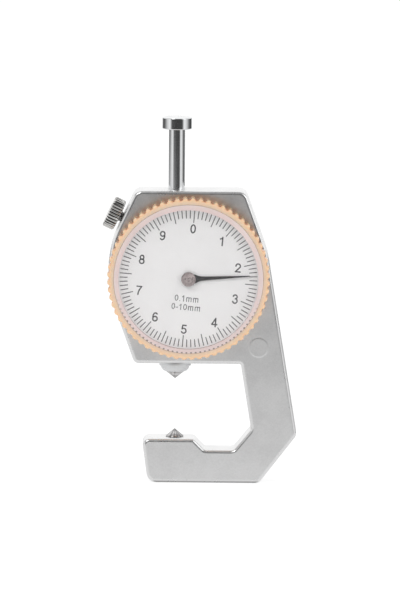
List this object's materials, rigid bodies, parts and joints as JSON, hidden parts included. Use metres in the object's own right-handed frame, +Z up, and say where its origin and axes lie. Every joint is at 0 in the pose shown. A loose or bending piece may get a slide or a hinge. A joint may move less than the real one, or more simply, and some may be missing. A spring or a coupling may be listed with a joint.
{
  "type": "dial thickness gauge",
  "caption": "Hand-held dial thickness gauge: cast C-frame with pointed anvil, spring-returned spindle with push button, rotatable toothed bezel and side clamp screw.",
  "frame": {"origin": "on the measuring axis, at the flat underside of the base and the middle of the frame's thickness", "axes": "+X from the measuring axis towards the arm, to the right of the dial; -Y the way the dial looks; +Z up along the spindle"},
  "size_m": [0.0475, 0.0146, 0.089],
  "materials": {
    "cast_alloy": "satin, finely textured as cast, polished edges",
    "bright_chrome": "mirror polished",
    "nickel_plate": "bright nickel plate",
    "tool_steel": "turned and ground",
    "spring_steel": "drawn wire",
    "brass": "machined",
    "bezel_plastic": "glossy translucent peach",
    "clear_plastic": "clear polished acrylic",
    "dial_enamel": "matt white enamel",
    "black_paint": "matt black",
    "cap_metal": "satin turned"
  },
  "bodies": {
    "case": {"frame": "cast_alloy", "back_cover": "cast_alloy", "cover_screw_1": "nickel_plate", "cover_screw_2": "nickel_plate", "cover_screw_3": "nickel_plate", "cover_screw_4": "nickel_plate", "upper_guide_bush": "tool_steel", "lower_guide_bush": "tool_steel", "anvil_point": "tool_steel", "front_bearing": "brass", "rear_bearing": "brass", "movement_bridge": "brass", "bridge_screw_1": "tool_steel", "bridge_screw_2": "tool_steel", "hair_spring": "spring_steel", "hair_spring_stud": "brass", "bezel_snap_ring": "spring_steel", "return_spring": "spring_steel"},
    "spindle": {"spindle_rod": "bright_chrome", "push_button": "bright_chrome", "contact_flange": "tool_steel", "contact_tip": "tool_steel", "spring_collar": "brass", "guide_pin": "tool_steel"},
    "pointer": {"centre_pinion": "tool_steel", "hair_spring_collet": "brass", "pointer_hand": "black_paint", "pointer_cap": "cap_metal"},
    "bezel": {"bezel_ring": "bezel_plastic", "dial_plate": "dial_enamel", "crystal": "clear_plastic"},
    "lock_pad": {"lock_pad": "brass"},
    "lock_screw": {"lock_screw": "nickel_plate"}
  },
  "joints": [
    {"name": "spindle_slide", "type": "slide", "parent": "case", "child": "spindle", "axis": [0, 0, 1], "range_m": [-0.0122, 0], "stiffness_N_per_m": 80, "springref_m": 0.006, "deforming": ["return_spring"]},
    {"name": "pointer_turn", "type": "hinge", "parent": "case", "child": "pointer", "pos_m": [0.00308, 0, 0.05041], "axis": [0, 1, 0], "range_deg": [-445, 5]},
    {"name": "bezel_turn", "type": "hinge", "parent": "case", "child": "bezel", "pos_m": [0.00308, 0, 0.05041], "axis": [0, 1, 0], "continuous": true},
    {"name": "lock_feed", "type": "slide", "parent": "case", "child": "lock_pad", "axis": [0.9021, 0, -0.4315], "range_m": [-0.0009, 0.00022]},
    {"name": "lock_turn", "type": "hinge", "parent": "lock_pad", "child": "lock_screw", "pos_m": [-0.01317, 0, 0.06446], "axis": [0.9021, 0, -0.4315], "range_deg": [-721, 181]}
  ],
  "couplings": [
    {"joint": "pointer_turn", "follows": "spindle_slide", "rad_per_m": 628.32},
    {"joint": "lock_turn", "follows": "lock_feed", "rad_per_m": 13963}
  ]
}
